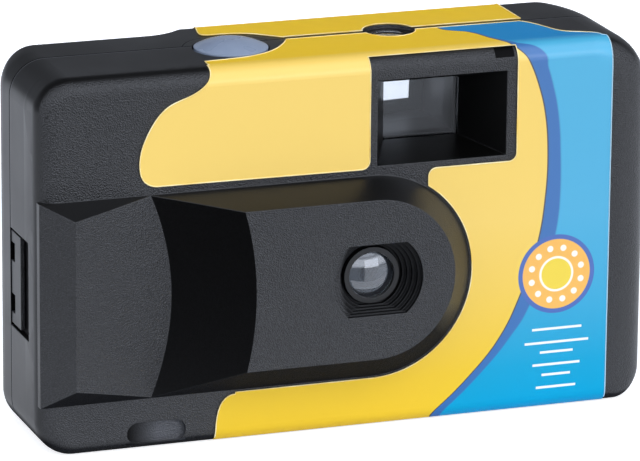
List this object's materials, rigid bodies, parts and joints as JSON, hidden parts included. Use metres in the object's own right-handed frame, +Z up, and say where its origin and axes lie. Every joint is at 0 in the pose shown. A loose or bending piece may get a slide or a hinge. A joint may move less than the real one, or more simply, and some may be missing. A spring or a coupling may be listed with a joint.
{
  "type": "disposable film camera",
  "caption": "Flat single-use 35 mm film camera with grip, lens housing, finder, thumbwheel, button and a cartridge door in its base.",
  "frame": {"origin": "centre of the bounding box at the bottom face that the camera stands on", "axes": "+X along the body, to the right as seen from the front, +Z up, the lens looks along -Y"},
  "size_m": [0.109, 0.035, 0.0657],
  "materials": {
    "black_plastic": "fine grained",
    "inner_plastic": "smooth matt",
    "printed_label": "printed film, semi gloss",
    "clear_lens": "clear moulded plastic",
    "blackened_steel": "blackened",
    "spring_steel": "bright",
    "cartridge_metal": "printed tinplate, plain",
    "felt": "velvet",
    "film": "coated film base",
    "blue_plastic": "satin",
    "white_plastic": "natural acetal",
    "dial_plastic": "printed dial"
  },
  "bodies": {
    "body": {"front_cover": "black_plastic", "rear_cover": "black_plastic", "main_frame": "inner_plastic", "front_label": "printed_label", "rear_label": "printed_label", "taking_lens": "clear_lens", "lens_ring": "black_plastic", "aperture_disc": "blackened_steel", "finder_front_lens": "clear_lens", "finder_rear_lens": "clear_lens", "counter_window": "clear_lens", "keeper_plate": "inner_plastic", "light_baffle": "inner_plastic", "shutter_cover": "inner_plastic", "blade_spring": "spring_steel", "cartridge_shell": "cartridge_metal", "cartridge_caps": "blackened_steel", "light_trap_felt": "felt", "film_strip": "film", "lever_spring": "spring_steel", "metering_spring": "spring_steel", "button_spring": "spring_steel"},
    "shutter_button": {"shutter_button": "blue_plastic"},
    "thumbwheel": {"thumbwheel": "black_plastic"},
    "cartridge_spool": {"cartridge_spool": "inner_plastic"},
    "sprocket": {"sprocket_shaft": "white_plastic"},
    "counter": {"counter_disc": "dial_plastic"},
    "supply": {"supply_spool": "inner_plastic", "film_roll": "film"},
    "shutter_blade": {"shutter_blade": "blackened_steel"},
    "high_energy_lever": {"high_energy_lever": "white_plastic"},
    "metering_lever": {"metering_lever": "white_plastic"},
    "anti_backup_pawl": {"anti_backup_pawl": "white_plastic"},
    "cartridge_door": {"cartridge_door": "black_plastic"}
  },
  "joints": [
    {"name": "button_press", "type": "slide", "parent": "body", "child": "shutter_button", "axis": [0, 0, -1], "range_m": [0, 0.0012], "stiffness_N_per_m": 300, "springref_m": -0.001, "deforming": ["button_spring"]},
    {"name": "thumbwheel_turn", "type": "hinge", "parent": "body", "child": "thumbwheel", "pos_m": [-0.0386, 0.0031, 0.055], "axis": [0, 0, 1], "continuous": true},
    {"name": "cartridge_spool_turn", "type": "hinge", "parent": "body", "child": "cartridge_spool", "pos_m": [-0.0386, 0.0031, 0.027], "axis": [0, 0, 1], "continuous": true},
    {"name": "sprocket_turn", "type": "hinge", "parent": "body", "child": "sprocket", "pos_m": [-0.0155, 0.00704, 0.045], "axis": [0, 0, 1], "continuous": true},
    {"name": "counter_turn", "type": "hinge", "parent": "body", "child": "counter", "pos_m": [0.0048, 0.004, 0.061], "axis": [0, 0, 1], "continuous": true},
    {"name": "supply_turn", "type": "hinge", "parent": "body", "child": "supply", "pos_m": [0.0385, 0.003, 0.027], "axis": [0, 0, 1], "continuous": true},
    {"name": "blade_swing", "type": "hinge", "parent": "body", "child": "shutter_blade", "pos_m": [0.009, -0.00805, 0.019], "axis": [0, 1, 0], "range_deg": [0, 30], "stiffness_Nm_per_rad": 0.0004, "springref_deg": -28.65},
    {"name": "high_energy_swing", "type": "hinge", "parent": "body", "child": "high_energy_lever", "pos_m": [-0.006, -0.005, 0.0555], "axis": [0, 0, 1], "range_deg": [-20, 0], "stiffness_Nm_per_rad": 0.002, "springref_deg": 17.19},
    {"name": "metering_swing", "type": "hinge", "parent": "body", "child": "metering_lever", "pos_m": [-0.0025, 0.0082, 0.0555], "axis": [0, 0, 1], "range_deg": [0, 12], "stiffness_Nm_per_rad": 0.001, "springref_deg": -17.19},
    {"name": "pawl_flex", "type": "hinge", "parent": "body", "child": "anti_backup_pawl", "pos_m": [-0.0234, -0.0074, 0.0555], "axis": [0, 0, 1], "range_deg": [0, 8], "stiffness_Nm_per_rad": 0.002, "springref_deg": -11.46},
    {"name": "door_swing", "type": "hinge", "parent": "body", "child": "cartridge_door", "pos_m": [-0.0386, 0.0125, 0.0016], "axis": [1, 0, 0], "range_deg": [0, 90]}
  ],
  "couplings": [
    {"joint": "cartridge_spool_turn", "follows": "thumbwheel_turn", "ratio": 1},
    {"joint": "sprocket_turn", "follows": "thumbwheel_turn", "ratio": 0.926},
    {"joint": "supply_turn", "follows": "thumbwheel_turn", "ratio": 0.56},
    {"joint": "counter_turn", "follows": "thumbwheel_turn", "ratio": -0.0185}
  ]
}
